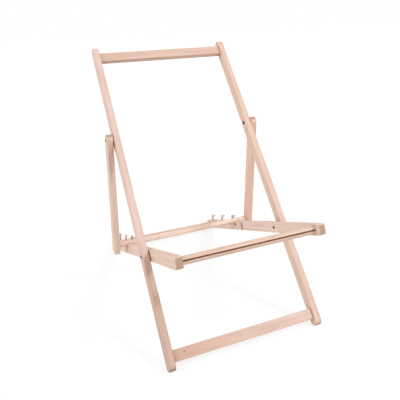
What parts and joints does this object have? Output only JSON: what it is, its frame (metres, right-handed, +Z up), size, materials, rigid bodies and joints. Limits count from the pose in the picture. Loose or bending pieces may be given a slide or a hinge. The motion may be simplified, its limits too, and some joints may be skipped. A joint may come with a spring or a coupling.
{
  "type": "folding deckchair frame",
  "caption": "Folding wooden deckchair frame without its sling: back, seat and prop frames on two pivot lines, with hooked racks for the prop rod.",
  "frame": {"origin": "on the floor, at the middle of the open chair's footprint", "axes": "+Z up, -Y towards the front where a sitter's feet are, +Y rearwards, +X towards the chair's right as seen from the front"},
  "size_m": [0.6398, 0.9982, 0.9563],
  "materials": {
    "beech": "planed and sanded, unvarnished",
    "beech_pale": "planed and sanded, unvarnished",
    "beech_rack": "sawn and sanded, unvarnished",
    "steel_dark": "blackened steel",
    "steel_grey": "zinc-plated steel"
  },
  "bodies": {
    "back_frame": {"back_rail_left": "beech", "back_rail_right": "beech", "foot_bar": "beech", "head_bar": "beech_pale", "prop_pivot_nut_left": "steel_dark", "prop_pivot_nut_right": "steel_dark", "prop_pivot_washer_left": "steel_grey", "prop_pivot_washer_right": "steel_grey", "seat_pivot_bolt_left": "steel_dark", "seat_pivot_bolt_right": "steel_dark", "seat_pivot_washer_left": "steel_grey", "seat_pivot_washer_right": "steel_grey"},
    "seat_frame": {"front_rod": "beech_pale", "rack_left": "beech_rack", "rack_nail_front_left": "steel_dark", "rack_nail_front_right": "steel_dark", "rack_nail_middle_left": "steel_dark", "rack_nail_middle_right": "steel_dark", "rack_nail_rear_left": "steel_dark", "rack_nail_rear_right": "steel_dark", "rack_right": "beech_rack", "rack_screw_left": "steel_dark", "rack_screw_right": "steel_dark", "rear_rung": "beech", "seat_pivot_nut_left": "steel_dark", "seat_pivot_nut_right": "steel_dark", "seat_rail_left": "beech_pale", "seat_rail_right": "beech_pale"},
    "prop_frame": {"prop_leg_left": "beech", "prop_leg_right": "beech", "prop_pivot_bolt_left": "steel_dark", "prop_pivot_bolt_right": "steel_dark", "prop_rod": "beech_pale"}
  },
  "joints": [
    {"name": "seat_pivot", "type": "hinge", "parent": "back_frame", "child": "seat_frame", "pos_m": [0, -0.19595, 0.29125], "axis": [1, 0, 0], "range_deg": [0, 69.77]},
    {"name": "prop_pivot", "type": "hinge", "parent": "back_frame", "child": "prop_frame", "pos_m": [0, 0.11653, 0.6383], "axis": [1, 0, 0], "range_deg": [0, 132.6]}
  ]
}
